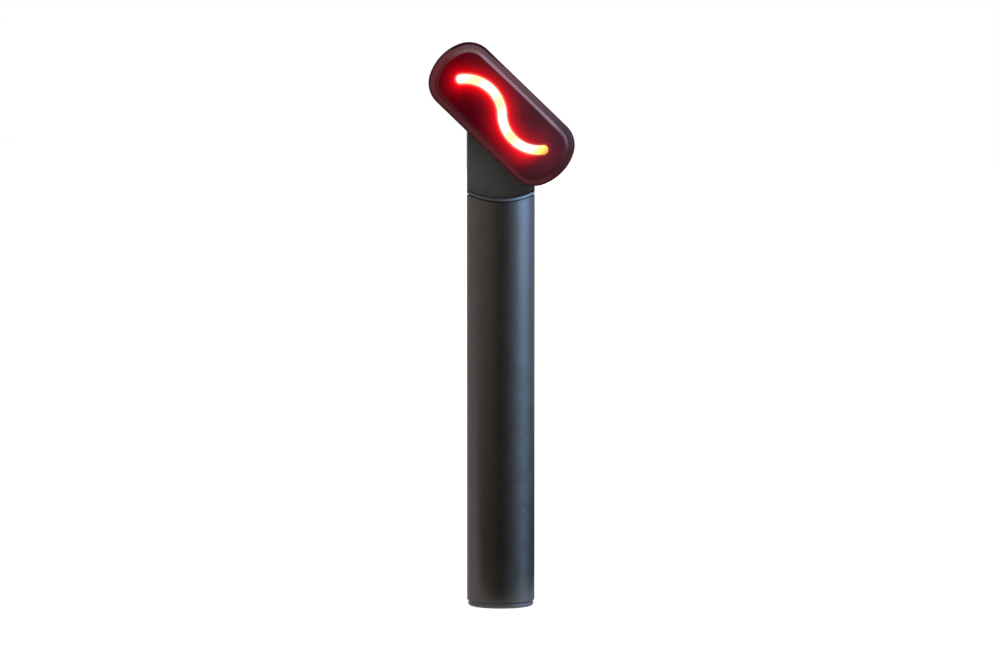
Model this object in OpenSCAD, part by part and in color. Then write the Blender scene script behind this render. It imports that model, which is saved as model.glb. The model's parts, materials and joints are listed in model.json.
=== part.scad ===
// Red light therapy wand with a tilting head.
// Millimetres. +Z runs up the handle, the lit face looks along -Y, and the origin is the
// centre of the handle's base. The head is drawn about halfway between in line and crossways.

/* [Handle] */
// Outside diameter of the handle
handle_d = 19; // [18.5:0.5:24]
// Height of the tube's top at its centre line, measured from the base
handle_l = 113.1; // [110:0.5:140]
// Wall of the handle tube
tube_wall = 1.1; // [0.8:0.05:1.3]
// Chamfer on the visible edges of the tube and the end cap
edge_chamfer = 0.35; // [0.1:0.05:0.5]
// Width of the shadow grooves between the visible pieces of the handle
groove_w = 0.35; // [0.2:0.05:0.5]
// Depth of the shadow grooves
groove_d = 0.4; // [0.2:0.05:0.6]

/* [Neck] */
// Distance of the neck's flat from the handle's axis
flat_offset = 2; // [1.6:0.1:3]
// Height of the bright trim ring below the shoulder
ring_h = 0.7; // [0.7:0.05:2]
// Length of the neck's spigot inside the tube
spigot_l = 13.1; // [11:0.1:16]

/* [Head] */
// Length of the head
head_l = 46.4; // [44:0.1:54]
// Width of the head
head_w = 20.2; // [19.6:0.1:22]
// Thickness of the head over its raised window
head_t = 8.2; // [8:0.1:11]
// Radius of the head's four corners
corner_r = 7.3; // [6:0.1:8]
// Radius of the head's two ends
end_r = 13.5; // [12:0.1:18]
// Width of the sloping rim round the window
rim_w = 2.3; // [1.8:0.1:2.8]
// Height of the window above the rim
window_h = 0.8; // [0.4:0.1:1]
// Radius of the window's edge
window_edge_r = 0.5; // [0.2:0.1:0.6]
// Radius of the rear edge of the head
rear_edge_r = 1.6; // [0.8:0.1:1.8]
// Wall of the head's shells
head_wall = 1.3; // [1.1:0.05:1.5]
// Thickness of the back shell's floor
head_floor = 1.4; // [1.2:0.1:1.8]
// Gap between the neck's flat and the head
head_gap = 0.3; // [0.2:0.05:0.6]
// Gap between the head's tip and the shoulder as it swings past
swing_gap = 0.2; // [0.2:0.05:0.8]
// Tilt of the head from crossways, as drawn
head_tilt = 44; // [0:1:90]

/* [Light] */
// Radius of the two arcs that make the light wave
wave_r = 10.2; // [9:0.1:12]
// Angle at which the wave crosses the middle of the head
wave_start = 46; // [42:1:54]
// Sweep of each arc of the wave
wave_sweep = 95; // [70:1:100]
// Width of the light wave
wave_w = 2.7; // [2:0.1:3.2]
// Number of light-emitting diodes under the wave
led_count = 10; // [6:1:14]
// Length of one diode along the wave
led_l = 1.6; // [1:0.1:2]
// Width of one diode across the wave
led_w = 1.2; // [0.8:0.1:1.6]
// Height of one diode
led_h = 0.6; // [0.4:0.05:0.7]

/* [Pivot] */
// Outside diameter of the hollow spindle
spindle_d = 6.8; // [6.4:0.1:7.2]
// Bore of the hollow spindle
spindle_bore_d = 4; // [3.6:0.1:4.4]
// Diameter of the spindle's flange
flange_d = 11.2; // [11:0.1:11.4]
// Thickness of the spindle's flange
flange_t = 1.2; // [1:0.1:1.5]
// Radial running clearance of the spindle in the head
running_fit = 0.05; // [0.03:0.01:0.08]
// Distance of the stop pin from the pivot
stop_r = 7; // [6.8:0.1:7.2]
// Diameter of the stop pin
stop_pin_d = 1.2; // [1:0.1:1.4]
// Swing of the head between its two stops
swing_angle = 90; // [60:5:110]

/* [Button] */
// Distance of the power button below the tube's top
button_drop = 26.1; // [25.5:0.5:40]
// Diameter of the power button
button_d = 7.3; // [6:0.1:7.6]
// Travel of the power button
button_travel = 0.4; // [0.2:0.05:0.5]
// How far the button stands out of the handle
button_proud = 0.1; // [0:0.02:0.2]
// Depth of the finger dish in the button
dish_depth = 0.3; // [0.1:0.05:0.4]
// Wall of the ring round the button
bezel_wall = 0.85; // [0.6:0.05:1.2]

/* [Inside] */
// Thickness of the battery
battery_t = 5; // [4:0.1:5.4]
// Thickness of the circuit boards
board_t = 0.8; // [0.6:0.1:1]
// Wall of the chassis
chassis_wall = 0.8; // [0.6:0.05:0.9]
// Diameter of the vibration motor
motor_d = 6; // [5:0.1:6.4]
// Length of the vibration motor's can
motor_l = 9; // [7:0.1:9.2]
// Radius of the eccentric weight
weight_r = 2.6; // [2:0.1:2.8]
// Height of the eccentric weight
weight_h = 3.2; // [2:0.1:3.4]
// Diameter of the lead through the neck
lead_d = 2.2; // [1.6:0.1:2.4]

/* [Charging port] */
// Width of the port's metal shell
port_w = 8.94; // [8.9:0.01:9]
// Height of the port's metal shell
port_h = 3.26; // [3.2:0.01:3.3]
// Length of the port's metal shell
port_l = 7.3; // [6.8:0.1:7.5]
// Sheet thickness of the port's shell
port_sheet = 0.3; // [0.2:0.05:0.35]
// Depth of the port's mouth inside the end cap
port_recess = 0.4; // [0.2:0.05:0.8]

/* [End cap] */
// Height of the end cap's visible flange
cap_h = 0.9; // [0.8:0.05:2]
// How much smaller the flange's radius is than the tube's
cap_step = 0.3; // [0.1:0.05:0.5]
// Length of the end cap's plug inside the tube
cap_plug_l = 6.8; // [6:0.1:8]
// Thickness of the end cap's floor
cap_floor = 2.6; // [2.2:0.1:3]
// Height of each sealing ring
seal_h = 1.4; // [1:0.1:1.6]
// Depth of the grooves that hold the sealing rings
seal_groove = 0.9; // [0.7:0.05:1]

/* [Clearances] */
// Slip clearance between fixed pieces that slide together
slip = 0.05; // [0.02:0.01:0.08]
// Working clearance round pieces that move freely
free_gap = 0.2; // [0.15:0.01:0.3]

/* [Hidden] */
$fn = 96;
far = 60;
eps = 0.01;
arc_steps = 9;

// Handle and neck
handle_r = handle_d / 2;
bore_r = handle_r - tube_wall;
spigot_r = bore_r - slip;
swing_r = head_l / 2;
shoulder_r = swing_r + swing_gap;
ring_low_r = shoulder_r + ring_h;
tube_cut_r = ring_low_r + groove_w;
pivot_z = handle_l + tube_cut_r;
spigot_z = handle_l - spigot_l;
tube_z = cap_h + groove_w;
saddle_rise = shoulder_r - sqrt(shoulder_r * shoulder_r - handle_r * handle_r);
shoulder_top_z = pivot_z - shoulder_r + saddle_rise;
neck_seal_z = spigot_z + 4;

// End cap
cap_r = handle_r - cap_step;
plug_top_z = tube_z + cap_plug_l;
pocket_r = bore_r - 1.5;
cap_seal_z = tube_z + 1.8;
port_gap = 0.1;
port_tongue_w = port_w - 2.34;
port_tongue_t = 0.7;
port_back = 0.8;

// Chassis, between the end cap's plug and the neck's spigot
chassis_r = bore_r - 2 * slip;
chassis_bore_r = chassis_r - chassis_wall;
chassis_z0 = plug_top_z + 2 * slip;
chassis_z1 = spigot_z - 2 * slip;
rib_t = 2;
top_rib_t = 2.9;
top_rib_z = chassis_z1 - top_rib_t;

// Main board, its face on the back of the charging port
board_y = port_h / 2 + 0.02;
board_back_y = board_y + board_t;
board_half_w = sqrt(bore_r * bore_r - board_back_y * board_back_y) - 0.33;
tongue_half_w = sqrt(pocket_r * pocket_r - board_back_y * board_back_y) - 1.05;
board_z0 = cap_floor + 0.4;
board_z1 = chassis_z1 - 0.4;
board_foot_z = chassis_z0 + 0.3;
chassis_y = board_y - slip;

// Motor, hung below the chassis's top rib
weight_z = top_rib_z - 0.5 - weight_h;
motor_top_z = weight_z - 0.6;
motor_z = motor_top_z - motor_l;
motor_r = motor_d / 2;
motor_y = -(chassis_bore_r - motor_r - 0.9);
motor_rib_t = 1.6;
motor_rib_z = motor_z - motor_rib_t;
shaft_r = 0.4;
shaft_z = motor_z + 2.3;
weight_cut = 0.9;

// Battery, filling the bay below the motor
battery_gap = 0.3;
bay_rise = 13.7;
bay_z = chassis_z0 + bay_rise;
battery_z = bay_z + battery_gap;
battery_l = motor_rib_z - battery_gap - battery_z;
battery_y1 = chassis_y - 1.2;
battery_y0 = battery_y1 - battery_t;
battery_w = 2 * (sqrt(chassis_bore_r * chassis_bore_r - battery_y0 * battery_y0) - 0.42);
pad_inset = 1;
pad_inset_z = 8;

// Screws that hold the board to the chassis's ribs
board_screw_r = 0.6;
board_screw_head_r = 1.1;
board_screw_head_h = 0.7;
board_screw_l = 3.6;
board_screw_x = 0.6 * board_half_w;
board_screw_at = [[-board_screw_x, bay_z - rib_t / 2], [board_screw_x, chassis_z1 - top_rib_t / 2]];

// Button and switch
button_z = handle_l - button_drop;
button_r = button_d / 2;
bezel_in_r = button_r + free_gap / 2;
bezel_r = bezel_in_r + bezel_wall;
bezel_y = bore_r - 1.9;
bezel_lip = 1;
button_foot_r = button_r + 0.75;
button_foot_t = 0.9;
button_foot_y = bezel_y - free_gap;
button_bottom_y = button_foot_y - button_foot_t;
dish_r = 18;
switch_w = 5;
switch_top_y = button_bottom_y - button_travel - 0.9;
plunger_r = 1.2;
plunger_gap = 0.1;
plunger_well_y = board_back_y + 0.3;
plunger_y = plunger_well_y + button_travel + 0.15;

// Head, measured forwards from its rear face
half_l = head_l / 2;
half_w = head_w / 2;
corner_v = half_w - corner_r;
end_u = half_l - end_r;
corner_u = end_u + sqrt((end_r - corner_r) * (end_r - corner_r) - corner_v * corner_v);
join_angle = atan2(corner_v, corner_u - end_u);
rim_top = head_t - window_h;
rim_rise = 1.8;
part_line = 4.4;
post_top = 4.2;
window_t = 1.6;
window_under = head_t - window_t;
window_ledge = 1;
ledge_t = 0.6;
board_inset = head_wall + 0.2;
led_board_top = post_top + board_t;
frame_inset = rim_w + window_ledge + 0.1;
frame_top = window_under - slip;
guide_bottom = led_board_top + led_h + slip;
gasket_inset = 0.4;
gasket_w = 0.5;
gasket_h = 0.4;
screw_u = corner_u + 0.1;
screw_v = half_w - 3.9;
screw_r = 0.7;
screw_head_r = 1.2;
screw_head_h = 0.7;
screw_sink = 0.2;
screw_l = window_under - 0.4;
post_r = 1.7;

// Pivot
spindle_r = spindle_d / 2;
spindle_bore_r = spindle_bore_d / 2;
flange_r = flange_d / 2;
spindle_front = 3.6;
boss_top = 2.2;
boss_r = 5;
washer_t = 0.25;
clip_z = boss_top + washer_t + slip;
clip_t = 0.6;
clip_groove_r = spindle_r - 0.4;
clip_r = 4.9;
clip_mouth = 3.2;
stop_pin_r = stop_pin_d / 2;
stop_slot_r = stop_pin_r + 0.15;
stop_depth = 0.9;
stop_pin_top = 0.7;
stop_pin_embed = 1.9;
flange_screw_pcd_r = (spindle_r + flange_r) / 2;
flange_screw_r = 0.5;
flange_screw_head_r = 0.95;
flange_screw_head_h = 0.55;
flange_screw_l = 4.2;
flange_screw_n = 3;

// Wiring space in the neck
lead_y = 3.6;
well_r = 2.6;
well_y = lead_y - 0.7;
well_back_y = 5.5;
lead_z0 = button_z + 6.5;
connector_h = 0.5;
connector_r = 1.5;

black = [0.16, 0.155, 0.15];
gunmetal = [0.3, 0.31, 0.33];
maroon = [0.32, 0.04, 0.08];
glow = [1, 0.3, 0.2];
steel = [0.75, 0.76, 0.78];
board_green = [0.1, 0.35, 0.2];
rubber_black = [0.08, 0.08, 0.08];
white_plastic = [0.92, 0.92, 0.9];
silver_foil = [0.7, 0.72, 0.75];
foam_grey = [0.4, 0.4, 0.42];
gold = [0.8, 0.65, 0.3];

// Points of an arc about a centre
function arc(centre, r, a0, a1, steps) =
    [for (i = [0 : steps]) centre + r * [cos(a0 + (a1 - a0) * i / steps), sin(a0 + (a1 - a0) * i / steps)]];

function skip_first(points) = [for (i = [1 : len(points) - 1]) points[i]];

// Half of the head's outline: a corner arc, an end arc and another corner arc
function half_outline(inset) = concat(
    arc([corner_u, -corner_v], corner_r - inset, -90, -join_angle, arc_steps),
    skip_first(arc([end_u, 0], end_r - inset, -join_angle, join_angle, arc_steps)),
    skip_first(arc([corner_u, corner_v], corner_r - inset, join_angle, 90, arc_steps))
);

// The head's outline, drawn in by the same inset all round
function outline(inset) = let (h = half_outline(inset)) concat(h, -h);

// Centre of the arc that makes the lower left half of the light wave
wave_centre = -wave_r * [cos(wave_start), sin(wave_start)];

// Edge of the light wave at half a width from its centre line, with a round end, then the same turned about
function half_wave(width) = concat(
    arc(wave_centre, wave_r + width / 2, wave_start, wave_start + wave_sweep, 2 * arc_steps),
    skip_first(arc(
        wave_centre + wave_r * [cos(wave_start + wave_sweep), sin(wave_start + wave_sweep)],
        width / 2, wave_start + wave_sweep, wave_start + wave_sweep + 180, arc_steps)),
    skip_first(arc(wave_centre, wave_r - width / 2, wave_start + wave_sweep, wave_start, 2 * arc_steps))
);
function wave(width) = let (h = half_wave(width)) concat(h, skip_first([for (p = h) -p]));

// A point of the wave's centre line and its heading, for t from -1 to 1
function wave_point(t) = sign(t) * (-wave_centre - wave_r * [
    cos(wave_start + wave_sweep * abs(t)), sin(wave_start + wave_sweep * abs(t))]);
function wave_heading(t) = wave_start + wave_sweep * abs(t) - 90;

// A round bar along Y
module bar_y(r, y0, y1, x = 0, z = 0) {
    translate([x, y1, z]) rotate([90, 0, 0]) cylinder(r = r, h = y1 - y0);
}

// A round bar along Z
module bar_z(r, z0, z1, x = 0, y = 0) {
    translate([x, y, z0]) cylinder(r = r, h = z1 - z0);
}

// A round bar through the pivot, square to the flat
module about_pivot(r) {
    bar_y(r, -far, far, z = pivot_z);
}

// Everything in front of the neck's flat
module in_front_of_flat() {
    translate([-far, -flat_offset - 2 * far, 0]) cube([2 * far, 2 * far, 4 * far]);
}

// Frame of the pivot: local Z runs forwards from the head's rear face
module at_pivot() {
    translate([0, -flat_offset - head_gap, pivot_z]) rotate([90, 0, 0]) children();
}

// Frame of the head: local X along its length, local Y across it
module at_head() {
    at_pivot() rotate([0, 0, -head_tilt]) children();
}

// A slab with the head's outline
module slab(inset, z0, z1) {
    translate([0, 0, z0]) linear_extrude(z1 - z0) polygon(outline(inset));
}

// A solid whose outline is drawn in by an inset at each height, given as [height, inset] pairs
module rounded(levels) {
    n = len(outline(0));
    top = n * (len(levels) - 1);
    points = [for (l = levels, p = outline(l[1])) [p[0], p[1], l[0]]];
    sides = [for (k = [0 : len(levels) - 2], i = [0 : n - 1]) let (j = (i + 1) % n)
        [k * n + j, k * n + i, (k + 1) * n + i, (k + 1) * n + j]];
    polyhedron(points, concat([[for (i = [0 : n - 1]) i]], sides, [[for (i = [n - 1 : -1 : 0]) top + i]]));
}

module at_screws() {
    for (u = [-1, 1], v = [-1, 1]) translate([u * screw_u, v * screw_v, 0]) children();
}

module stadium(w, h, z0, z1) {
    translate([0, 0, z0]) linear_extrude(z1 - z0) {
        square([w - h, h], center = true);
        for (s = [-1, 1]) translate([s * (w - h) / 2, 0]) circle(d = h);
    }
}

// A ring about Z with a square section
module ring(r_in, r_out, z0, z1) {
    difference() {
        bar_z(r_out, z0, z1);
        bar_z(r_in, z0 - 1, z1 + 1);
    }
}

// A sealing ring that fills its groove from the plug's core to the tube
module seal(z) {
    ring(spigot_r - seal_groove + eps, bore_r - eps, z + eps, z + seal_h - eps);
}

module handle_tube() {
    color(black) difference() {
        rotate_extrude() polygon([
            [bore_r, tube_z], [handle_r - edge_chamfer, tube_z], [handle_r, tube_z + edge_chamfer],
            [handle_r, shoulder_top_z + 2], [bore_r, shoulder_top_z + 2]
        ]);
        about_pivot(tube_cut_r);
        bar_y(bezel_r + slip, 0, far, z = button_z);
    }
}

module shoulder_trim_ring() {
    color(gunmetal) difference() {
        union() {
            intersection() {
                bar_z(handle_r, handle_l - 1, shoulder_top_z + 1);
                about_pivot(ring_low_r);
            }
            intersection() {
                bar_z(handle_r - groove_d, handle_l - 1, shoulder_top_z + 1);
                about_pivot(tube_cut_r - eps);
            }
        }
        about_pivot(shoulder_r);
        bar_z(spigot_r + slip, 0, far * 3);
    }
}

module neck_frame() {
    color(black) difference() {
        union() {
            intersection() {
                union() {
                    bar_z(handle_r, handle_l, pivot_z);
                    translate([0, 0, pivot_z]) sphere(r = handle_r);
                }
                about_pivot(shoulder_r - slip);
            }
            bar_z(spigot_r, spigot_z, shoulder_top_z + saddle_rise);
        }
        intersection() {
            in_front_of_flat();
            about_pivot(shoulder_r);
        }
        // Seat of the spindle's flange, then the space for the wiring
        bar_y(flange_r + slip, -far, -flat_offset + flange_t, z = pivot_z);
        bar_y(well_r, -flat_offset, well_back_y, z = pivot_z);
        bar_z(well_r, spigot_z - 1, pivot_z, y = well_y);
        at_pivot() {
            for (i = [0 : flange_screw_n - 1]) rotate([0, 0, 90 + i * 360 / flange_screw_n])
                bar_z(flange_screw_r + eps, -2 * head_gap - flange_screw_l, 0, x = flange_screw_pcd_r);
            bar_z(stop_pin_r + eps, -head_gap - stop_pin_embed, 0, y = -stop_r);
        }
        ring(spigot_r - seal_groove, bore_r, neck_seal_z, neck_seal_z + seal_h);
    }
}

module neck_seal() {
    color(rubber_black) seal(neck_seal_z);
}

module pivot_spindle() {
    color(steel) at_pivot() difference() {
        union() {
            bar_z(flange_r, -head_gap - flange_t, -head_gap);
            bar_z(spindle_r, -head_gap - flange_t, spindle_front);
        }
        bar_z(spindle_bore_r, -far, far);
        ring(clip_groove_r, spindle_r + 1, clip_z - eps, clip_z + clip_t + eps);
        for (i = [0 : flange_screw_n - 1]) rotate([0, 0, 90 + i * 360 / flange_screw_n]) {
            bar_z(flange_screw_r + slip, -far, 0, x = flange_screw_pcd_r);
            bar_z(flange_screw_head_r + slip, -head_gap - flange_screw_head_h - slip, 0,
                x = flange_screw_pcd_r);
        }
    }
}

module spindle_screws() {
    color(steel) at_pivot() for (i = [0 : flange_screw_n - 1]) rotate([0, 0, 90 + i * 360 / flange_screw_n])
        translate([flange_screw_pcd_r, 0, -head_gap - slip]) difference() {
            union() {
                bar_z(flange_screw_head_r, -flange_screw_head_h, 0);
                bar_z(flange_screw_r, -flange_screw_l, 0);
            }
            translate([0, 0, -flange_screw_head_h / 2]) linear_extrude(1)
                square([1.3 * flange_screw_head_r, 0.25], center = true);
        }
}

module stop_pin() {
    color(steel) at_pivot() bar_z(stop_pin_r, -head_gap - stop_pin_embed, stop_pin_top, y = -stop_r);
}

module wave_washer() {
    color(steel) at_head() ring(spindle_r + running_fit, boss_r, boss_top, boss_top + washer_t);
}

module retaining_ring() {
    color(steel) at_pivot() difference() {
        ring(clip_groove_r + eps, clip_r, clip_z, clip_z + clip_t);
        translate([-clip_mouth / 2, 0, 0]) cube([clip_mouth, far, far]);
    }
}

module inner_chassis() {
    color(foam_grey) difference() {
        bar_z(chassis_r, chassis_z0, chassis_z1);
        translate([-far, chassis_y, 0]) cube([2 * far, far, 4 * far]);
        // The battery's bay, the motor's seat and the room round its weight
        bar_z(chassis_bore_r, bay_z, motor_rib_z);
        bar_z(motor_r + slip, motor_z, top_rib_z, y = motor_y);
        bar_z(chassis_bore_r, motor_top_z + free_gap, top_rib_z);
        bar_z(chassis_bore_r, chassis_z0 - 1, bay_z - rib_t);
        for (p = board_screw_at)
            bar_y(board_screw_r + eps, chassis_y - board_screw_l - 2 * slip, far, x = p[0], z = p[1]);
    }
}

module battery_pack() {
    color(silver_foil) translate([-battery_w / 2, battery_y0, battery_z])
        cube([battery_w, battery_t, battery_l]);
}

module battery_pad() {
    color(foam_grey) translate([-battery_w / 2 + pad_inset, battery_y1 + eps, battery_z + pad_inset_z])
        cube([battery_w - 2 * pad_inset, board_y - battery_y1 - 2 * eps, battery_l - 2 * pad_inset_z]);
}

module main_board() {
    color(board_green) difference() {
        union() {
            translate([-board_half_w, board_y, board_foot_z])
                cube([2 * board_half_w, board_t, board_z1 - board_foot_z]);
            translate([-tongue_half_w, board_y, board_z0])
                cube([2 * tongue_half_w, board_t, board_z1 - board_z0]);
        }
        for (p = board_screw_at) bar_y(board_screw_r + slip, 0, far, x = p[0], z = p[1]);
    }
}

module board_chips() {
    // Each chip is [x over the board's half width, height over its length, width, length, thickness]
    chips = [
        [0, 0.13, 4, 4, 0.9], [0.55, 0.26, 2, 1.2, 0.6], [-0.55, 0.26, 2, 1.2, 0.6],
        [0, 0.35, 5, 5, 1], [0.5, 0.44, 3, 3, 1.6], [-0.5, 0.44, 1.6, 0.8, 0.7], [-0.5, 0.47, 1.6, 0.8, 0.7],
        [0, 0.6, 4, 6, 1.2], [0.6, 0.6, 1.6, 0.8, 0.7], [-0.6, 0.6, 1.6, 0.8, 0.7], [0, 0.52, 3, 3, 0.9]
    ];
    color(rubber_black) for (c = chips) translate([
        c[0] * board_half_w - c[2] / 2, board_back_y, board_z0 + c[1] * (board_z1 - board_z0)
    ]) cube([c[2], c[4], c[3]]);
}

module board_screws() {
    color(steel) for (p = board_screw_at) {
        bar_y(board_screw_r, chassis_y - board_screw_l, board_back_y + eps, x = p[0], z = p[1]);
        bar_y(board_screw_head_r, board_back_y, board_back_y + board_screw_head_h, x = p[0], z = p[1]);
    }
}

module switch_body() {
    color(rubber_black) difference() {
        translate([-switch_w / 2, board_back_y, button_z - switch_w / 2])
            cube([switch_w, switch_top_y - board_back_y, switch_w]);
        bar_y(plunger_r + plunger_gap, plunger_well_y, far, z = button_z);
    }
}

module switch_plunger() {
    color(white_plastic) bar_y(plunger_r, plunger_y, button_bottom_y, z = button_z);
}

module power_button() {
    color(black) difference() {
        intersection() {
            union() {
                bar_y(button_r, button_bottom_y, far, z = button_z);
                bar_y(button_foot_r, button_bottom_y, button_foot_y, z = button_z);
            }
            bar_z(handle_r + button_proud, 0, 4 * far);
        }
        translate([0, handle_r + button_proud + dish_r - dish_depth, button_z]) sphere(r = dish_r);
    }
}

module button_bezel() {
    color(gunmetal) difference() {
        union() {
            intersection() {
                bar_y(bezel_r, bezel_y, far, z = button_z);
                bar_z(handle_r - slip, 0, 4 * far);
            }
            intersection() {
                bar_y(bezel_r + bezel_lip, bezel_y, far, z = button_z);
                bar_z(bore_r - slip, 0, 4 * far);
            }
        }
        bar_y(bezel_in_r, 0, far, z = button_z);
    }
}

module motor_can() {
    color(steel) difference() {
        bar_z(motor_r, motor_z, motor_top_z, y = motor_y);
        bar_z(shaft_r + slip, shaft_z - free_gap, far * 3, y = motor_y);
    }
}

module eccentric_weight() {
    color(gold) translate([0, motor_y, 0]) {
        bar_z(shaft_r, shaft_z, weight_z + weight_h);
        difference() {
            bar_z(weight_r, weight_z, weight_z + weight_h);
            translate([-far, weight_cut, 0]) cube([2 * far, far, 4 * far]);
        }
    }
}

module usb_port() {
    color(steel) {
        difference() {
            stadium(port_w, port_h, port_recess, port_recess + port_l);
            stadium(port_w - 2 * port_sheet, port_h - 2 * port_sheet, 0, port_recess + port_l - port_back);
        }
        translate([-port_tongue_w / 2, -port_tongue_t / 2, port_recess + port_back])
            cube([port_tongue_w, port_tongue_t, port_l - 1.5 * port_back]);
    }
}

module end_cap() {
    color(black) difference() {
        rotate_extrude() polygon([
            [0, 0], [cap_r - edge_chamfer, 0], [cap_r, edge_chamfer],
            [cap_r, cap_h - edge_chamfer / 2], [cap_r - edge_chamfer / 2, cap_h],
            [handle_r - groove_d, cap_h], [handle_r - groove_d, tube_z],
            [spigot_r, tube_z], [spigot_r, plug_top_z], [0, plug_top_z]
        ]);
        bar_z(pocket_r, cap_floor, far);
        stadium(port_w + 2 * port_gap, port_h + 2 * port_gap, -1, cap_floor + 1);
        ring(spigot_r - seal_groove, bore_r, cap_seal_z, cap_seal_z + seal_h);
    }
}

module end_cap_seal() {
    color(rubber_black) seal(cap_seal_z);
}

// The lead climbs behind the board, turns forwards at the pivot and ends in the spindle
module head_lead() {
    color(rubber_black) {
        bar_z(lead_d / 2, lead_z0, pivot_z - lead_y, y = lead_y);
        translate([0, 0, pivot_z - lead_y]) rotate([90, 0, 90])
            rotate_extrude(angle = 90) translate([lead_y, 0]) circle(d = lead_d);
        bar_y(lead_d / 2, -flat_offset - head_gap - spindle_front, 0, z = pivot_z);
    }
}

module head_connector() {
    color(white_plastic) at_head() bar_z(connector_r, post_top - connector_h, post_top);
}

module head_back_shell() {
    edge = [for (a = [90 : -15 : 0]) [rear_edge_r * (1 - sin(a)), rear_edge_r * (1 - cos(a))]];
    color(maroon) at_head() difference() {
        union() {
            difference() {
                rounded(concat(edge, [[part_line, 0]]));
                slab(head_wall, head_floor, far);
            }
            bar_z(boss_r, head_floor - eps, boss_top);
            at_screws() bar_z(post_r, head_floor - eps, post_top);
        }
        bar_z(spindle_r + running_fit, -1, far);
        difference() {
            slab(gasket_inset, part_line - gasket_h, far);
            slab(gasket_inset + gasket_w, 0, far);
        }
        at_screws() {
            bar_z(screw_r + 0.1, -1, far);
            bar_z(screw_head_r + 0.15, -1, screw_sink + screw_head_h);
        }
        // Slot for the stop pin, which it enters crossways and leaves in line with the handle
        rotate([0, 0, -90]) {
            rotate_extrude(angle = swing_angle) translate([stop_r - stop_slot_r, -1])
                square([2 * stop_slot_r, stop_depth + 1]);
            for (a = [0, swing_angle]) rotate([0, 0, a]) bar_z(stop_slot_r, -1, stop_depth, x = stop_r);
        }
    }
}

module head_gasket() {
    color(rubber_black) at_head() difference() {
        slab(gasket_inset + eps, part_line - gasket_h + eps, part_line - eps);
        slab(gasket_inset + gasket_w - eps, 0, far);
    }
}

module led_board() {
    color(white_plastic) at_head() difference() {
        slab(board_inset, post_top, led_board_top);
        at_screws() bar_z(screw_r + 0.2, 0, far);
    }
}

module red_leds() {
    color(glow) at_head() for (i = [0 : led_count - 1]) let (t = (2 * i + 1) / led_count - 1)
        translate(concat(wave_point(t), [led_board_top])) rotate([0, 0, wave_heading(t) + 180])
            translate([-led_l / 2, -led_w / 2, 0]) cube([led_l, led_w, led_h]);
}

module light_frame() {
    color(white_plastic) at_head() difference() {
        slab(frame_inset, led_board_top, frame_top);
        translate([0, 0, led_board_top - 1]) linear_extrude(far) polygon(wave(wave_w + 0.1));
        at_screws() bar_z(post_r + 0.2, 0, far);
    }
}

module light_guide() {
    color(glow) at_head() translate([0, 0, guide_bottom])
        linear_extrude(head_t - guide_bottom) polygon(wave(wave_w - 0.1));
}

module head_bezel() {
    rim = [for (a = [0 : 15 : 90]) [rim_top - rim_rise * (1 - sin(a)), rim_w * (1 - cos(a))]];
    color(maroon) at_head() difference() {
        union() {
            difference() {
                rounded(concat([[part_line, 0]], rim));
                slab(head_wall, 0, window_under - ledge_t);
                slab(rim_w + window_ledge, 0, far);
            }
            at_screws() bar_z(post_r, led_board_top, window_under - eps);
        }
        slab(rim_w, window_under, far);
        at_screws() bar_z(screw_r + eps, 0, screw_l + 0.2);
    }
}

module head_window() {
    lip = [for (a = [0 : 15 : 90]) [
        head_t - window_edge_r * (1 - sin(a)),
        rim_w + slip + window_edge_r * (1 - cos(a))
    ]];
    color(maroon) at_head() difference() {
        rounded(concat([[window_under, rim_w + slip]], lip));
        linear_extrude(far) polygon(wave(wave_w));
    }
}

module head_screws() {
    color(steel) at_head() at_screws() difference() {
        union() {
            bar_z(screw_head_r, screw_sink, screw_sink + screw_head_h - eps);
            bar_z(screw_r, screw_sink, screw_l);
        }
        for (a = [0, 90]) rotate([0, 0, a]) translate([-screw_r, -0.15, 0])
            cube([2 * screw_r, 0.3, screw_sink + screw_head_h / 2]);
    }
}

handle_tube();
shoulder_trim_ring();
neck_frame();
neck_seal();
pivot_spindle();
spindle_screws();
stop_pin();
wave_washer();
retaining_ring();
inner_chassis();
battery_pack();
battery_pad();
main_board();
board_chips();
board_screws();
switch_body();
switch_plunger();
power_button();
button_bezel();
motor_can();
eccentric_weight();
usb_port();
end_cap();
end_cap_seal();
head_lead();
head_connector();
head_back_shell();
head_gasket();
led_board();
red_leds();
light_frame();
light_guide();
head_bezel();
head_window();
head_screws();
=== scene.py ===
import json
import math

import bmesh
import bpy
from mathutils import Matrix, Vector
from mathutils.geometry import delaunay_2d_cdt


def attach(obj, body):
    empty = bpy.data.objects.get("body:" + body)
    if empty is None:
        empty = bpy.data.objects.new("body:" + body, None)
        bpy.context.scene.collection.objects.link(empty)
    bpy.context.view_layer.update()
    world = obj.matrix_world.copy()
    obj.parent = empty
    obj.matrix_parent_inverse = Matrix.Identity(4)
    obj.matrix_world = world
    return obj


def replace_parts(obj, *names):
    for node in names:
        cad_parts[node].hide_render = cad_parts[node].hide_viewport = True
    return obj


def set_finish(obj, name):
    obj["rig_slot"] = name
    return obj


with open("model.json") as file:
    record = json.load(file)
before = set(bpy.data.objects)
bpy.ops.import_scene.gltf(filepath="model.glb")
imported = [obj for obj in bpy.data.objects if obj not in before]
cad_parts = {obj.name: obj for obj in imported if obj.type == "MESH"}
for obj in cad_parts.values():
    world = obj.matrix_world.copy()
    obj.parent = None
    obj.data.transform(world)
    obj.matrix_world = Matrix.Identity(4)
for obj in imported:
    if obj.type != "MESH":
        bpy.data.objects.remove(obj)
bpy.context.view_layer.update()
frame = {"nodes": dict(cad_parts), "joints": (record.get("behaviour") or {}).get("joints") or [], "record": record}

MM = 0.001

# The head's frame: X along its length, Y across it, Z forwards from its rear face

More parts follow.
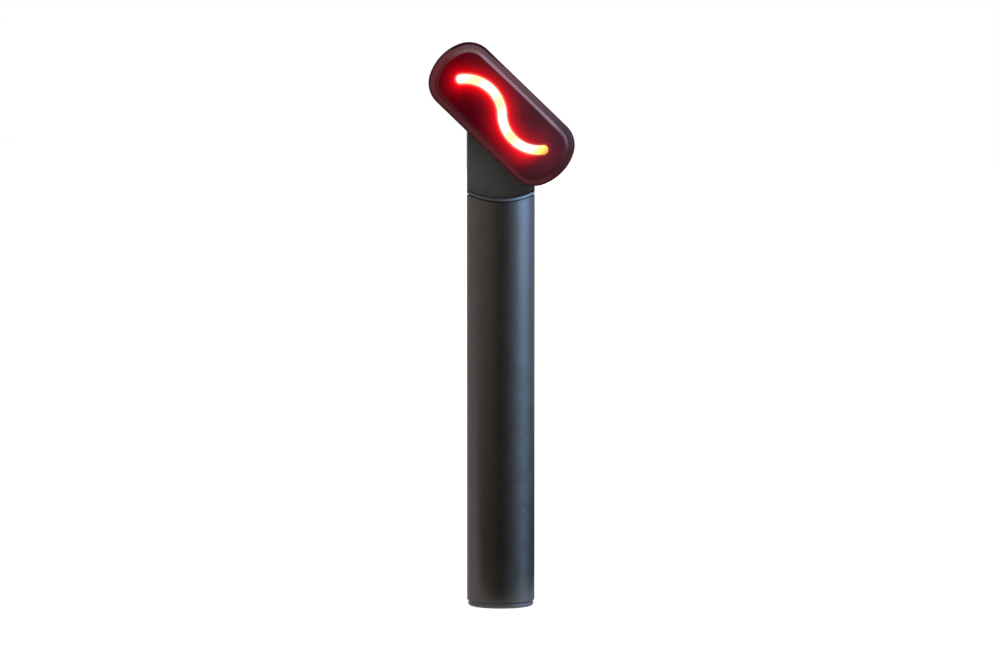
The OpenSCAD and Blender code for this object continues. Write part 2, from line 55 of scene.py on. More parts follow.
tilt_joint = next(j for j in frame["joints"] if j["name"] == "head_tilt")
head_tilt = math.radians(tilt_joint["range_deg"][1])
along = Vector((math.cos(head_tilt), 0, -math.sin(head_tilt)))
across = Vector((math.sin(head_tilt), 0, math.cos(head_tilt)))
head_matrix = Matrix((along, across, (0, -1, 0))).transposed().to_4x4()
head_matrix.translation = tilt_joint["pos_m"]


def head_box(node):
    """Lowest and highest corner of a CAD node in the head's frame."""
    to_head = head_matrix.inverted()
    points = [to_head @ v.co for v in frame["nodes"][node].data.vertices]
    return tuple(Vector(f(p[i] for p in points) for i in range(3)) for f in (min, max))


bezel_low, bezel_high = head_box("head_bezel")
window_low, window_high = head_box("head_window")
screws_high = head_box("head_screws")[1]

HALF_L = bezel_high.x
HALF_W = bezel_high.y
HEAD_T = window_high.z
PART_LINE = bezel_low.z
WINDOW_UNDER = window_low.z
RIM_W = HALF_W - window_high.y
CORNER_R = 7.3 * MM
END_R = 13.5 * MM

# Light wave: two arcs that meet in the middle of the head
WAVE_R = 10.2 * MM
WAVE_START = math.radians(46)
WAVE_SWEEP = math.radians(95)
WAVE_W = 2.7 * MM
WAVE_GAP = 0.03 * MM

# Profile of the head's front, from the rim to the crowned window
RIM_R = 0.8 * MM
RIM_SLOPE = math.radians(76)
COVE_R = 0.6 * MM
WALL_SLOPE = math.radians(56)
WALL_W = 0.75 * MM
WINDOW_EDGE_R = 0.9 * MM
WINDOW_FLARE = 0.15 * MM
CROWN = 0.4 * MM
SEAM_R = 0.12 * MM
GUIDE_EDGE = 0.15 * MM
WINDOW_SPACING = 0.9 * MM
GUIDE_SPACING = 0.5 * MM

# Below this radius the handle's surface is the floor of a groove
GROOVE_R = 9.38 * MM

# The joint of neck and trim ring lies on this radius about the pivot, just clear of the head's ends
SWING_GAP = 0.2 * MM
SHOULDER_R = HALF_L + SWING_GAP
# The dark joint line is this wide; it also carries painted contact shade
JOINT_SHADE_W = 0.11 * MM

# The neck's front face lies this far behind the head
HEAD_GAP = 0.3 * MM

REAR_EDGE_R = 1.6 * MM
BEZEL_LEDGE = 0.6 * MM
BEZEL_LEDGE_W = 1 * MM
SHELL_WALL = 1.3 * MM
SHELL_FLOOR = 1.4 * MM
SPINDLE_BORE_R = 3.45 * MM
SCREW_HEAD_R = 1.2 * MM
SCREW_BORE_R = 1.35 * MM
SCREW_SEAT = 0.9 * MM
STOP_R = 7.0 * MM
STOP_SLOT_R = 0.75 * MM
STOP_DEPTH = 0.9 * MM


# Plane curves

def arc(centre, r, start, end, steps):
    angles = [start + (end - start) * i / steps for i in range(steps + 1)]
    return [(centre[0] + r * math.cos(a), centre[1] + r * math.sin(a)) for a in angles]


def circle(centre, r, steps=32):
    return arc(centre, r, 0, 2 * math.pi, steps)[:-1]


def opposite(points):
    return [(-x, -y) for x, y in points]


def outline(inset=0.0, steps=20, side_steps=24):
    """The head's outline, drawn in by an inset."""
    corner_v = HALF_W - CORNER_R
    end_u = HALF_L - END_R
    corner_u = end_u + math.sqrt((END_R - CORNER_R) ** 2 - corner_v ** 2)
    join = math.atan2(corner_v, corner_u - end_u)
    half = (
        arc((corner_u, -corner_v), CORNER_R - inset, -math.pi / 2, -join, steps)
        + arc((end_u, 0), END_R - inset, -join, join, steps)[1:]
        + arc((corner_u, corner_v), CORNER_R - inset, join, math.pi / 2, steps)[1:]
    )
    top = HALF_W - inset
    side = [(corner_u - 2 * corner_u * i / side_steps, top) for i in range(1, side_steps)]
    return half + side + opposite(half + side)


def wave(width, steps=40, end_steps=10):
    """The light wave's edge, at half a width from its centre line."""
    centre = (-WAVE_R * math.cos(WAVE_START), -WAVE_R * math.sin(WAVE_START))
    stop = WAVE_START + WAVE_SWEEP
    tip = (centre[0] + WAVE_R * math.cos(stop), centre[1] + WAVE_R * math.sin(stop))
    half = (
        arc(centre, WAVE_R + width / 2, WAVE_START, stop, steps)
        + arc(tip, width / 2, stop, stop + math.pi, end_steps)[1:]
        + arc(centre, WAVE_R - width / 2, stop, WAVE_START, steps)[1:]
    )
    return half + opposite(half)[1:-1]


def slot_outline(steps=12):
    """The stop pin's slot in the rear face, from crossways to in line with the handle."""
    start = -math.pi / 2
    end = start + math.radians(tilt_joint["range_deg"][1] - tilt_joint["range_deg"][0])

    def tip(a):
        return STOP_R * math.cos(a), STOP_R * math.sin(a)

    return (
        arc((0, 0), STOP_R + STOP_SLOT_R, start, end, 3 * steps)
        + arc(tip(end), STOP_SLOT_R, end, end + math.pi, steps)[1:]
        + arc((0, 0), STOP_R - STOP_SLOT_R, end, start, 3 * steps)[1:]
        + arc(tip(start), STOP_SLOT_R, start - math.pi, start, steps)[1:-1]
    )


# Meshes in the head's frame

def flat(height):
    return lambda x, y: height


def crowned(height):
    """A surface that falls gently from the middle of the head towards its edges."""
    return lambda x, y: height - CROWN * ((x / HALF_L) ** 2 + (y / HALF_W) ** 2)


def level(points, height):
    return [Vector((x, y, height(x, y))) for x, y in points]


def skin(bm, rings, closed=False):
    """Quads between rings of equally many points."""
    rows = [[bm.verts.new(p) for p in ring] for ring in rings]
    pairs = list(zip(rows, rows[1:])) + ([(rows[-1], rows[0])] if closed else [])
    for low, high in pairs:
        for i in range(len(low)):
            j = (i + 1) % len(low)
            bm.faces.new((low[i], low[j], high[j], high[i]))


def cap(bm, outer, height, holes=(), spacing=None):
    """Fills an outline that may have holes, with points inside it where the surface is crowned."""
    points, edges = [], []
    for loop in (outer, *holes):
        first, n = len(points), len(loop)
        points += [Vector(p) for p in loop]
        edges += [(first + i, first + (i + 1) % n) for i in range(n)]
    if spacing:
        rows, columns = int(HALF_W / spacing), int(HALF_L / spacing)
        for i in range(-rows, rows + 1):
            for j in range(-columns, columns + 1):
                points.append(Vector(((j + 0.5 * (i % 2)) * spacing, i * spacing * math.sqrt(0.75))))
    verts, _, faces, *_ = delaunay_2d_cdt(points, edges, [], 1, 1e-9)
    faces = [f for f in faces if keeps(sum((verts[i] for i in f), Vector((0, 0))) / len(f), outer, holes)]
    made = [bm.verts.new((v.x, v.y, height(v.x, v.y))) for v in verts]
    for f in faces:
        bm.faces.new([made[i] for i in f])
    bmesh.ops.delete(bm, geom=[v for v in made if not v.link_faces], context="VERTS")


def contains(loop, p):
    inside = False
    for (x0, y0), (x1, y1) in zip(loop, loop[1:] + loop[:1]):
        if (y0 > p.y) != (y1 > p.y) and p.x < x0 + (p.y - y0) * (x1 - x0) / (y1 - y0):
            inside = not inside
    return inside


def keeps(p, outer, holes):
    return contains(outer, p) and not any(contains(hole, p) for hole in holes)


def head_piece(bm, name, replaced, slot, sharp=30):
    """Joins a mesh's parts, shades it smooth between its sharp edges and puts it on the head."""
    bmesh.ops.remove_doubles(bm, verts=bm.verts, dist=1e-7)
    bmesh.ops.recalc_face_normals(bm, faces=bm.faces)
    for face in bm.faces:
        face.smooth = True
    for edge in bm.edges:
        edge.smooth = edge.calc_face_angle(0) < math.radians(sharp)
    bm.transform(head_matrix)
    mesh = bpy.data.meshes.new(name)
    bm.to_mesh(mesh)
    bm.free()
    piece = bpy.data.objects.new(name, mesh)
    bpy.context.scene.collection.objects.link(piece)
    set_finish(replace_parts(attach(piece, "head"), replaced), slot)
    return piece


def turned(centre, r, start, end, steps):
    """Profile points round a centre (inset, height) whose normal turns from start to end above the flat."""
    return [
        (centre[0] - r * math.cos(a), centre[1] + r * math.sin(a))
        for a in (start + (end - start) * i / steps for i in range(steps + 1))
    ]


# The profile from the window's rounded edge down its sloping wall to the cove, and the rim outside it
edge_centre = (RIM_W - WINDOW_FLARE + WINDOW_EDGE_R, HEAD_T - CROWN - WINDOW_EDGE_R)
wall_top = turned(edge_centre, WINDOW_EDGE_R, WALL_SLOPE, WALL_SLOPE, 1)[0]
wall_foot = (wall_top[0] - WALL_W, wall_top[1] - WALL_W / math.tan(WALL_SLOPE))
cove_centre = (
    wall_foot[0] - COVE_R * math.cos(WALL_SLOPE),
    wall_foot[1] + COVE_R * math.sin(WALL_SLOPE),
)
cove = turned(cove_centre, -COVE_R, RIM_SLOPE, WALL_SLOPE, 8)
window_edge = turned(edge_centre, WINDOW_EDGE_R, WALL_SLOPE, math.pi / 2, 8)
rim_drop = (cove[0][0] - RIM_R * (1 - math.cos(RIM_SLOPE))) / math.tan(RIM_SLOPE)
rim_centre = (RIM_R, cove[0][1] - rim_drop - RIM_R * math.sin(RIM_SLOPE))
rim = turned(rim_centre, RIM_R, 0, RIM_SLOPE, 10)


def head_window():
    bm = bmesh.new()
    inset, height = window_edge[-1]
    slot = wave(WAVE_W + 2 * WAVE_GAP)
    profile = [(RIM_W, WINDOW_UNDER), (RIM_W, cove[0][1] - RIM_R)] + cove[1:] + window_edge
    fall = crowned(0)
    rings = [
        level(outline(i), lambda x, y, w=w: w + (CROWN + fall(x, y) if w > cove[2][1] else 0))
        for i, w in profile
    ]
    skin(bm, rings)
    cap(bm, outline(inset), lambda x, y: height + CROWN + fall(x, y), [slot], WINDOW_SPACING)
    cap(bm, outline(RIM_W), flat(WINDOW_UNDER), [slot])
    skin(bm, [level(slot, flat(WINDOW_UNDER)), level(slot, crowned(HEAD_T))])
    return head_piece(bm, "smoked_window", "head_window", "smoked_red")


def light_guide():
    bm = bmesh.new()
    under = head_box("light_guide")[0].z
    body = wave(WAVE_W)
    top = wave(WAVE_W - 2 * GUIDE_EDGE)
    edge, crown = crowned(HEAD_T - GUIDE_EDGE), crowned(HEAD_T)
    skin(bm, [level(body, flat(under)), level(body, edge), level(top, crown)])
    cap(bm, top, crown, spacing=GUIDE_SPACING)
    cap(bm, body, flat(under))
    return head_piece(bm, "wave_light_guide", "light_guide", "light_wave", sharp=50)


def head_bezel():
    bm = bmesh.new()
    ledge = WINDOW_UNDER - BEZEL_LEDGE
    seam = turned((SEAM_R, PART_LINE + SEAM_R), SEAM_R, -math.pi / 2, 0, 4)
    foot = cove[1]
    ledge_inset = RIM_W + BEZEL_LEDGE_W
    profile = (
        [(SHELL_WALL, PART_LINE)] + seam + rim + [cove[0], foot, (RIM_W, foot[1] - RIM_R)]
        + [(RIM_W, WINDOW_UNDER), (ledge_inset, WINDOW_UNDER), (ledge_inset, ledge), (SHELL_WALL, ledge)]
    )
    skin(bm, [level(outline(i), flat(w)) for i, w in profile], closed=True)
    return head_piece(bm, "smoked_rim", "head_bezel", "smoked_red_rim")


def head_back_shell():
    bm = bmesh.new()
    rear = turned((REAR_EDGE_R, REAR_EDGE_R), REAR_EDGE_R, -math.pi / 2, 0, 12)
    seam = turned((SEAM_R, PART_LINE - SEAM_R), SEAM_R, 0, math.pi / 2, 4)
    profile = rear + seam + [(SHELL_WALL, PART_LINE), (SHELL_WALL, SHELL_FLOOR)]
    skin(bm, [level(outline(i), flat(w)) for i, w in profile])
    screw_u, screw_v = (end - SCREW_HEAD_R for end in screws_high.xy)
    seats = [circle((a * screw_u, b * screw_v), SCREW_BORE_R) for a in (-1, 1) for b in (-1, 1)]
    bore, stop = circle((0, 0), SPINDLE_BORE_R, 64), slot_outline()
    cap(bm, outline(REAR_EDGE_R), flat(0), [*seats, bore, stop])
    cap(bm, outline(SHELL_WALL), flat(SHELL_FLOOR), [bore])
    for loop, depth in [*((seat, SCREW_SEAT) for seat in seats), (stop, STOP_DEPTH)]:
        skin(bm, [level(loop, flat(0)), level(loop, flat(depth))])
        cap(bm, loop, flat(depth))
    skin(bm, [level(bore, flat(0)), level(bore, flat(SHELL_FLOOR))])
    return head_piece(bm, "head_rear_shell", "head_back_shell", "head_shell")


# Materials

class Material:
    """A Principled material, with short calls for the nodes that vary its surface."""

    def __init__(self, name, color, roughness, **inputs):
        self.data = bpy.data.materials.new(name)
        self.data.use_nodes = True
        self.tree = self.data.node_tree
        self.shader = self.tree.nodes["Principled BSDF"]
        self.set(self.shader, {"Base Color": (*color, 1), "Roughness": roughness})
        self.set(self.shader, {key.replace("_", " "): value for key, value in inputs.items()})
        self.place = self.node("ShaderNodeTexCoord").outputs["Object"]

    def set(self, node, inputs):
        for key, value in inputs.items():
            if isinstance(value, bpy.types.NodeSocket):
                self.tree.links.new(value, node.inputs[key])
            else:
                node.inputs[key].default_value = value

    def node(self, kind, inputs=None, **settings):
        node = self.tree.nodes.new(kind)
        for key, value in settings.items():
            setattr(node, key, value)
        self.set(node, inputs or {})
        return node

    def math(self, operation, a, b=0.0, c=0.0):
        return self.node("ShaderNodeMath", {0: a, 1: b, 2: c}, operation=operation).outputs[0]

    def remap(self, value, low, high, to_low=0.0, to_high=1.0, smooth=False):
        kind = "SMOOTHSTEP" if smooth else "LINEAR"
        inputs = {"From Min": low, "From Max": high, "To Min": to_low, "To Max": to_high, "Value": value}
        return self.node("ShaderNodeMapRange", inputs, interpolation_type=kind).outputs[0]

    def choose(self, amount, a, b):
        return self.node("ShaderNodeMix", {0: amount, 2: a, 3: b}).outputs[0]

    def blend(self, amount, a, b):
        node = self.node("ShaderNodeMix", {0: amount}, data_type="RGBA")
        for key, value in ((6, a), (7, b)):
            self.set(node, {key: value if isinstance(value, bpy.types.NodeSocket) else (*value, 1)})
        return node.outputs[2]

    def noise(self, size, detail, roughness=0.5, place=None):
        """Noise whose features measure about size, in metres."""
        inputs = {"Vector": place or self.place, "Scale": 1 / size, "Detail": detail, "Roughness": roughness}
        return self.node("ShaderNodeTexNoise", inputs).outputs["Fac"]

    def split(self, vector):
        return self.node("ShaderNodeSeparateXYZ", {0: vector}).outputs

    def cells(self, size, feature="F1"):
        inputs = {"Vector": self.place, "Scale": 1 / size}
        return self.node("ShaderNodeTexVoronoi", inputs, feature=feature)

    def bump(self, height, depth):
        """Relief of a depth in metres."""
        inputs = {"Height": height, "Distance": depth, "Strength": 1.0}
        return self.node("ShaderNodeBump", inputs).outputs[0]

    def surface(self, **inputs):
        self.set(self.shader, {key.replace("_", " "): value for key, value in inputs.items()})


def rough_noise(m, size, low, high):
    return m.remap(m.noise(size, 3.0), 0.3, 0.7, low, high)


def scaled(m, tone, shade):
    return m.node("ShaderNodeVectorMath", {0: tone, "Scale": shade}, operation="SCALE").outputs[0]


def length(m, x, y):
    return m.math("SQRT", m.math("MULTIPLY_ADD", x, x, m.math("MULTIPLY", y, y)))


def joint_line_and_shade(m, tone):
    """Darkens a tone next to the joint of neck and trim ring: a dark joint line with painted contact shade."""
    x, _, z = m.split(m.place)
    reach = length(m, x, m.math("SUBTRACT", z, head_matrix.translation.z))
    off = m.math("ABSOLUTE", m.math("SUBTRACT", reach, SHOULDER_R - 0.4 * JOINT_SHADE_W))
    return m.blend(m.remap(off, 0.6 * JOINT_SHADE_W, JOINT_SHADE_W, smooth=True), (0.012, 0.012, 0.012), tone)


def specks(m):
    """1 at a few fine specks: the middles of one cell in fifty."""
    cell = m.cells(0.9 * MM)
    near = m.math("LESS_THAN", cell.outputs["Distance"], 0.11)
    draw = m.node("ShaderNodeSeparateColor", {0: cell.outputs["Color"]}).outputs[0]
    return m.math("MULTIPLY", near, m.math("LESS_THAN", draw, 0.02))


def anodised(name, color, roughness, specked=True, groove=0.0):
    """Bead-blasted and anodised metal with a fine even grain, painted near black below a groove's radius as
    painted shade on the groove's floor.
    """
    m = Material(name, color, roughness, Metallic=1.0, Specular_Tint=(0.6, 0.6, 0.62, 1))
    fine = m.noise(0.22 * MM, 4.0, 0.7)
    tone = scaled(m, color, m.remap(fine, 0.3, 0.7, 0.82, 1.18))
    if specked:
        tone = m.blend(specks(m), tone, (0.35, 0.36, 0.38))
    if groove:
        # Painted shade: the groove's floor is near black
        x, y, _ = m.split(m.place)
        tone = m.blend(m.math("GREATER_THAN", length(m, x, y), groove), (0.015, 0.015, 0.015), tone)
        tone = joint_line_and_shade(m, tone)
    m.surface(
        Base_Color=tone, Roughness=rough_noise(m, 6 * MM, roughness - 0.03, roughness + 0.04),
        Normal=m.bump(fine, 0.006 * MM),
    )
    return m.data


def coated(name, color, roughness, grain=0.18 * MM, depth=0.004 * MM, neck=False):
    """Matt powder coat: a fine pebbled skin. On the neck the sides are painted half as dark as the flat: painted
    shade, which leaves the flat, shaded by the head, lighter.
    """
    m = Material(name, color, roughness, Specular_IOR_Level=0.35)
    fine = m.noise(grain, 3.0, 0.6)
    tone = m.blend(m.remap(fine, 0.35, 0.65), tuple(0.8 * c for c in color), tuple(1.2 * c for c in color))
    if neck:
        # Painted shade: the neck's sides get half the tone of its flat face, which the head shades
        flat_y = head_matrix.translation.y + HEAD_GAP
        side = m.remap(m.split(m.place)[1], flat_y + 0.05 * MM, flat_y + 0.3 * MM)
        tone = joint_line_and_shade(m, m.blend(side, tone, tuple(0.5 * c for c in color)))
    m.surface(
        Base_Color=tone, Roughness=rough_noise(m, 5 * MM, roughness - 0.04, roughness + 0.05),
        Normal=m.bump(fine, depth),
    )
    return m.data


def moulded(name, color, roughness, grain=0.3 * MM, depth=0.003 * MM, **inputs):
    """Moulded plastic with a faint grain."""
    m = Material(name, color, roughness, **inputs)
    fine = m.noise(grain, 3.0, 0.6)
    tone = m.blend(m.remap(fine, 0.3, 0.7), tuple(0.88 * c for c in color), tuple(1.12 * c for c in color))
    m.surface(
        Base_Color=tone, Roughness=rough_noise(m, 4 * MM, roughness - 0.03, roughness + 0.04),
        Normal=m.bump(fine, depth),
    )
    return m.data


def brushed(name, color, roughness):
    """Machined or brushed metal: fine streaks along one direction."""
    m = Material(name, color, roughness, Metallic=1.0)
    stretch = (1, 1, 0.05)
    place = m.node("ShaderNodeVectorMath", {0: m.place, 1: stretch}, operation="MULTIPLY").outputs[0]
    streaks = m.noise(0.12 * MM, 4.0, 0.7, place)
    m.surface(
        Roughness=m.remap(streaks, 0.3, 0.7, roughness - 0.06, roughness + 0.1),
        Normal=m.bump(streaks, 0.003 * MM),
    )
    return m.data


def from_arc(m, x, y):
    """Distance in mm of a point from the light wave's lower left arc, and from the arc's whole circle."""
    r, middle, half = WAVE_R / MM, WAVE_START + WAVE_SWEEP / 2, WAVE_SWEEP / 2
    dx = m.math("ADD", x, r * math.cos(WAVE_START))
    dy = m.math("ADD", y, r * math.sin(WAVE_START))
    px = m.math("MULTIPLY_ADD", dx, math.cos(middle), m.math("MULTIPLY", dy, math.sin(middle)))
    py = m.math("MULTIPLY_ADD", dx, -math.sin(middle), m.math("MULTIPLY", dy, math.cos(middle)))
    py = m.math("ABSOLUTE", py)
    outside = m.math("SUBTRACT", length(m, px, py), r)
    tip_x, tip_y = r * math.cos(half), r * math.sin(half)
    to_tip = length(m, m.math("SUBTRACT", px, tip_x), m.math("SUBTRACT", py, tip_y))
    within = m.math(
        "GREATER_THAN", m.math("MULTIPLY", px, math.sin(half)), m.math("MULTIPLY", py, math.cos(half)))
    return m.choose(within, to_tip, m.math("ABSOLUTE", outside)), outside


def head_place(m):
    """Place along and across the head, and forwards from its rear face, in mm."""
    inputs = {"Vector": m.place, "Location": head_matrix.translation, "Rotation": head_matrix.to_euler()}
    in_head = m.node("ShaderNodeMapping", inputs, vector_type="TEXTURE").outputs[0]
    return tuple(m.math("MULTIPLY", axis, 1 / MM) for axis in m.split(in_head))


def from_wave(m, x, y):
    """Distance in mm from the light wave's centre line, and its side: 1 at the lower left, -1 opposite."""
    left, outside_left = from_arc(m, x, y)
    right, outside_right = from_arc(m, *(m.math("MULTIPLY", value, -1.0) for value in (x, y)))
    side = m.choose(
        m.math("LESS_THAN", left, right), outside_right, m.math("MULTIPLY", outside_left, -1.0))
    return m.math("MINIMUM", left, right), m.remap(side, -2.0, 2.0, -1.0, 1.0)


def wave_glow(m, x, y):
    """The wave's light under the smoked plastic: weaker past the wave's dim end and outside its bends."""
    distance, side = from_wave(m, x, y)
    reach = m.math("DIVIDE", m.math("SUBTRACT", 3.0, distance), m.remap(x, -10, 10, 1.4, 1.65))
    light = m.math("MULTIPLY", m.math("EXPONENT", reach), m.remap(x, 11, 17, 0.42, 0.04, smooth=True))
    lean = m.math("ADD", m.remap(x, -5, 5, 0.2, -0.08), m.remap(x, 7, 13, 0.0, 0.7))
    return m.math("MULTIPLY", light, m.math("MULTIPLY_ADD", side, lean, 1.0))


def painted_light_upper_right(m, x, y):
    """1 along the head's upper right side, falling to 0 at its lower left side and right end: the mask of painted
    light on the side that faces the lamps.
    """
    return m.math("MULTIPLY", m.remap(y, -1, 7, smooth=True), m.remap(x, 11, 17, 1.0, 0.2, smooth=True))


def smoked(name, low, high, pale, glow, right_end_shade=1.0):
    """Smoked translucent red over the wave's light: its skin turns from low to high as pale grows, as painted
    light; towards the head's right end its tone is darkened as painted shade.
    """
    m = Material(name, low, 0.4)
    grain = m.noise(0.28 * MM, 3.0, 0.65)
    x, y, height = head_place(m)
    shade = m.remap(grain, 0.3, 0.7, 0.78, 1.22)
    # Painted shade: the tone falls towards the head's right end
    shade = m.math("MULTIPLY", shade, m.remap(m.math("ADD", x, y), 15, 24, 1.0, right_end_shade, smooth=True))
    tone = scaled(m, m.blend(pale(m, x, y), low, high), shade)
    light = m.math("MULTIPLY", wave_glow(m, x, y), m.remap(grain, 0.3, 0.7, 0.9 * glow, 1.1 * glow))
    near = m.remap(from_wave(m, x, y)[0], 1.4, 2.0, smooth=True)
    m.surface(
        Emission_Color=m.blend(near, (1, 0.12, 0.08), (1, 0, 0.004)), Emission_Strength=light,
        Normal=m.bump(grain, 0.0012 * MM),
    )
    return m, tone, (x, y, height)


def smoked_window():
    """The window, painted greyer towards its right end and upper side as a painted sheen, whose bevelled edge is
    glossier than its face and painted paler along its upper right as a painted highlight.
    """
    # Painted sheen: the window's tone turns greyer towards its right end and upper side
    def pale(m, x, y):
        return m.remap(m.math("MULTIPLY_ADD", x, 0.7, y), -10, 15)

    m, tone, (x, y, height) = smoked("smoked_window", (0.058, 0.0, 0.0035), (0.052, 0.014, 0.023), pale, 1.0)
    lit = painted_light_upper_right(m, x, y)
    wall_end = wall_top[1] / MM
    face = m.remap(height, wall_end, wall_end + 0.15, smooth=True)
    # Painted highlight: the bevelled wall is paler and pinker along the upper right side
    wall = m.blend(lit, (0.055, 0.009, 0.014), (0.12, 0.06, 0.066))
    m.surface(
        Base_Color=m.blend(face, wall, tone), Roughness=m.remap(face, 0, 1, 0.4, 0.45),
        Specular_IOR_Level=m.choose(face, m.remap(lit, 0, 1, 0.06, 0.18), 0.03),
        Specular_Tint=(1, 0.53, 0.39, 1),
    )
    return m.data


def smoked_rim():
    """The rim, painted greyer along its upper right side as painted light, whose rounded outer edge is darker and
    duller than its slope with painted shade, most at the head's top.
    """
    m, tone, (x, y, height) = smoked(
        "smoked_rim", (0.088, 0.012, 0.015), (0.088, 0.034, 0.04), painted_light_upper_right, 0.5, right_end_shade=0.5)
    # Painted shade: the outer edge's dark band is widened and darkened at the head's top
    top = m.math("MULTIPLY", m.remap(x, -8, -14), m.remap(y, 1, 4))
    height = m.math("MULTIPLY_ADD", top, -0.09, height)
    slope_foot = rim[-1][1] / MM
    face = m.remap(height, slope_foot - 0.13, slope_foot - 0.01, smooth=True)
    # Painted light and shade: the outer edge is lighter along the upper right side and darkest at the top
    outer = m.blend(painted_light_upper_right(m, x, y), (0.05, 0.01, 0.0125), (0.07, 0.026, 0.032))
    outer = m.blend(top, outer, (0.028, 0.0045, 0.008))
    m.surface(
        Base_Color=m.blend(face, outer, tone), Roughness=rough_noise(m, 5 * MM, 0.39, 0.45),
        Specular_IOR_Level=m.remap(face, 0, 1, 0.0, 0.2),
    )
    return m.data


def lit_wave():
    """The lit guide: white near a diode, yellow between them, orange at its end and along its edges."""
    m = Material("lit_wave", (0.25, 0.05, 0.01), 0.4, Emission_Strength=1.0, Specular_IOR_Level=0.1)
    x, y, _ = head_place(m)
    distance = from_wave(m, x, y)[0]
    spacing, first_dip = 9.05, -12.0
    phase = m.math("MULTIPLY", m.math("SUBTRACT", x, first_dip), 2 * math.pi / spacing)
    between = m.remap(m.math("COSINE", phase), 0.0, 1.0, 0.0, 0.52, smooth=True)
    core = m.blend(between, (1, 1, 1), (1, 0.97, 0.1))
    core = m.blend(m.remap(x, 12.5, 15, smooth=True), core, (1, 0.94, 0.2))
    core = m.blend(m.remap(x, 14.5, 16.3, smooth=True), core, (1, 0.45, 0.06))
    m.surface(Emission_Color=m.blend(m.remap(distance, 1.12, 1.4, smooth=True), core, (1, 0.2, 0.04)))
    return m.data


def circuit_board():
    m = Material("solder_mask", (0.01, 0.09, 0.035), 0.35, Coat_Weight=0.3)
    traces = m.cells(1.6 * MM, "DISTANCE_TO_EDGE").outputs["Distance"]
    m.surface(Base_Color=m.blend(m.remap(traces, 0.03, 0.06), (0.02, 0.16, 0.06), (0.01, 0.08, 0.03)))
    return m.data


materials = {
    "anodised_black": anodised("anodised_black", (0.057, 0.051, 0.0455), 0.41, groove=GROOVE_R),
    "trim_metal": anodised("trim_metal", (0.095, 0.086, 0.078), 0.63, specked=False, groove=GROOVE_R),
    "neck_black": coated("neck_black", (0.056, 0.050, 0.043), 0.62, neck=True),
    "cap_black": anodised("cap_black", (0.065, 0.065, 0.067), 0.34, specked=False),
    "button_black": coated("button_black", (0.03, 0.03, 0.03), 0.5),
    "screw_black": brushed("black_oxide_steel", (0.03, 0.03, 0.031), 0.42),
    "steel": brushed("machined_steel", (0.56, 0.57, 0.58), 0.28),
    "port_steel": brushed("drawn_steel", (0.5, 0.5, 0.52), 0.3),
    "seal_rubber": moulded("seal_rubber", (0.012, 0.012, 0.012), 0.6),
    "chassis_plastic": moulded("chassis_plastic", (0.05, 0.05, 0.055), 0.5),
    "battery_foil": brushed("battery_foil", (0.55, 0.57, 0.6), 0.4),
    "foam": coated("closed_cell_foam", (0.08, 0.08, 0.085), 0.9, 0.5 * MM, 0.05 * MM),
    "circuit_board": circuit_board(),
    "chip_black": moulded("chip_epoxy", (0.02, 0.02, 0.022), 0.55),
    "white_plastic": moulded("white_plastic", (0.8, 0.8, 0.78), 0.45),
    "weight_brass": brushed("sintered_weight", (0.7, 0.55, 0.28), 0.45),
    "lead_black": moulded("lead_sleeve", (0.015, 0.015, 0.015), 0.5),
    "head_shell": moulded("head_rear_plastic", (0.05, 0.012, 0.014), 0.6, Specular_IOR_Level=0.2),
    "led_red": moulded("diode_lens", (0.8, 0.15, 0.1), 0.2),
    "light_wave": lit_wave(),
    "smoked_red_rim": smoked_rim(),
    "smoked_red": smoked_window(),
}

pieces = [head_window(), light_guide(), head_bezel(), head_back_shell()]
slots = {row["node"]: row["material_slot"] for row in frame["record"]["subparts"]}
for name, node in frame["nodes"].items():
    for slot in node.material_slots:
        slot.material = materials[slots[name]]
for piece in pieces:
    piece.data.materials.append(materials[piece["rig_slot"]])


# Floor, world, lights and camera

def seen_rays(tree):
    """1 for the rays that see the background: from the camera, and mirrored or passed on to it."""
    path = tree.nodes.new("ShaderNodeLightPath")
    value = path.outputs["Is Camera Ray"]
    for key in ("Is Glossy Ray", "Is Transmission Ray"):
        node = tree.nodes.new("ShaderNodeMath")
        node.operation = "MAXIMUM"
        tree.links.new(value, node.inputs[0])
        tree.links.new(path.outputs[key], node.inputs[1])
        value = node.outputs[0]
    return value


def white_world(ambient):
    world = bpy.data.worlds.new("studio")
    world.use_nodes = True
    bpy.context.scene.world = world
    tree = world.node_tree
    background = tree.nodes["Background"]
    background.inputs["Color"].default_value = (1, 1, 1, 1)
    strength = tree.nodes.new("ShaderNodeMapRange")
    strength.inputs["To Min"].default_value = ambient
    tree.links.new(seen_rays(tree), strength.inputs["Value"])
    tree.links.new(strength.outputs[0], background.inputs["Strength"])


def plane(name, size, matrix):
    mesh = bpy.data.meshes.new(name)
    x, y = size[0] / 2, size[1] / 2
    mesh.from_pydata([(-x, -y, 0), (x, -y, 0), (x, y, 0), (-x, y, 0)], [], [(0, 1, 2, 3)])
    obj = bpy.data.objects.new(name, mesh)
    obj.matrix_world = matrix
    bpy.context.scene.collection.objects.link(obj)
    return obj


def white_floor(lift):
    """A pale floor that keeps the object's shadow; lift is the share of white that rays see in any case."""
    m = Material("floor_white", (0.8, 0.8, 0.8), 0.9)
    emission = m.node("ShaderNodeEmission", {"Color": (1, 1, 1, 1)})
    m.set(emission, {"Strength": m.math("MULTIPLY", seen_rays(m.tree), lift)})
    both = m.node("ShaderNodeAddShader", {0: m.shader.outputs[0], 1: emission.outputs[0]})
    m.set(m.tree.nodes["Material Output"], {"Surface": both.outputs[0]})
    floor = plane("floor", (6, 6), Matrix.Translation((0, 0, -0.0002)))
    floor.data.materials.append(m.data)


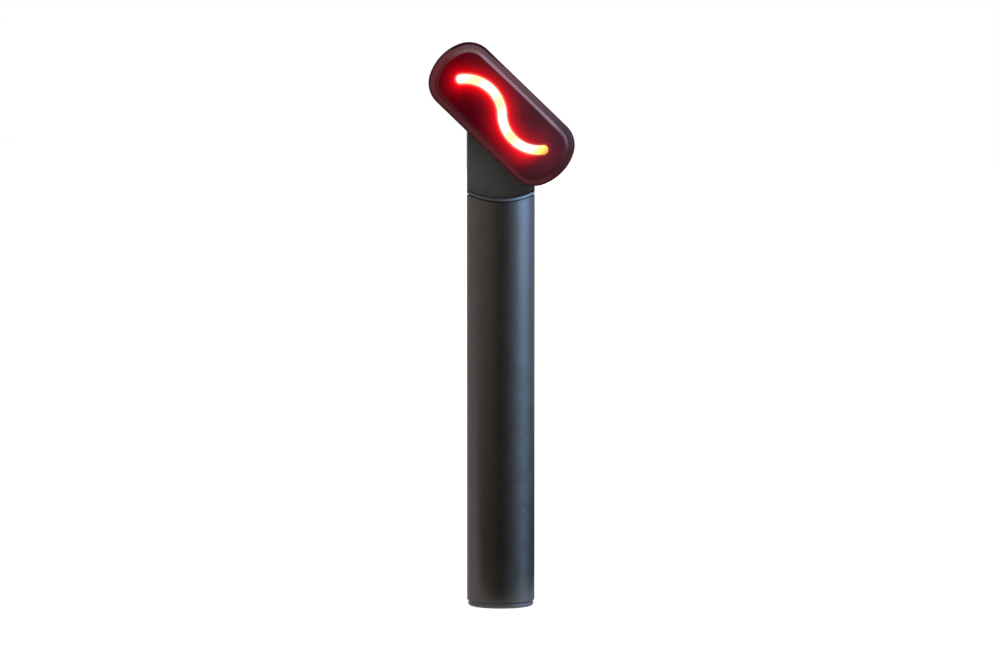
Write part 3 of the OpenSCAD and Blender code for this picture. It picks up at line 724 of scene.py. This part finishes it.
def aim(place, target):
    """Matrix of a lamp, card or camera at a place, looking at a target."""
    place = Vector(place)
    turn = (Vector(target) - place).to_track_quat("-Z", "Y")
    return Matrix.Translation(place) @ turn.to_matrix().to_4x4()


def around(azimuth, distance, height):
    """A place round the handle: azimuth 0 is in front, 90 to the right."""
    a = math.radians(azimuth)
    return distance * math.sin(a), -distance * math.cos(a), height


def softbox(name, place, size, level, color, target=(0, 0, 0.1), diffuse=True):
    """A soft lamp whose face is level times as bright as white; without diffuse only reflections see it."""
    data = bpy.data.lights.new(name, "AREA")
    data.shape = "RECTANGLE"
    data.size, data.size_y = size
    data.color = color
    data.energy = level * math.pi * size[0] * size[1]
    lamp = bpy.data.objects.new(name, data)
    lamp.matrix_world = aim(place, target)
    lamp.visible_diffuse = diffuse
    bpy.context.scene.collection.objects.link(lamp)


def dark_card(name, matrix, size, top=0.0):
    """A black card that only reflections see, paler upwards to a share of white at its top."""
    card = plane(name, size, matrix)
    m = Material(
        name, (0, 0, 0), 1.0, Specular_IOR_Level=0.0,
        Emission_Color=(1, 0.93, 0.86, 1), Emission_Strength=0.0,
    )
    if top:
        m.surface(Emission_Strength=m.remap(m.split(m.place)[1], -size[1] / 2, size[1] / 2, 0.0, top))
    card.data.materials.append(m.data)
    for use in ("camera", "diffuse", "transmission", "shadow"):
        setattr(card, "visible_" + use, False)


CAMERA = (-0.045, -1.3, 0.175)
TARGET = (-0.00022, 0, 0.07615)
FOCAL_PX, IMAGE_PX, SENSOR = 4674, 1000, 36

white_world(0.8)
white_floor(0.75)
softbox(
    "window_right", around(86, 0.62, 0.52), (0.46, 0.7), 48, (0.29, 0.56, 1.0), target=(0, 0, 0.45),
    diffuse=False,
)
softbox("sky_front", (0.0, -0.35, 0.85), (1.0, 0.6), 2.4, (0.9, 0.95, 1.0))
dark_card("card_front", aim(around(4, 0.35, 0.03), (0, 0, 0.03)), (0.3, 0.44), top=0.3)
dark_card("card_floor", Matrix.Translation((0.02, -0.4545, 0.0003)), (1.1, 0.876))
dark_card("card_floor_right", Matrix.Translation((0.43, 0.195, 0.0003)), (0.8, 0.41))

camera_data = bpy.data.cameras.new("camera")
camera_data.sensor_width = SENSOR
camera_data.lens = SENSOR * FOCAL_PX / IMAGE_PX
camera = bpy.data.objects.new("camera", camera_data)
camera.matrix_world = aim(CAMERA, TARGET)
bpy.context.scene.collection.objects.link(camera)
bpy.context.scene.camera = camera
bpy.context.scene.view_settings.view_transform = "Standard"
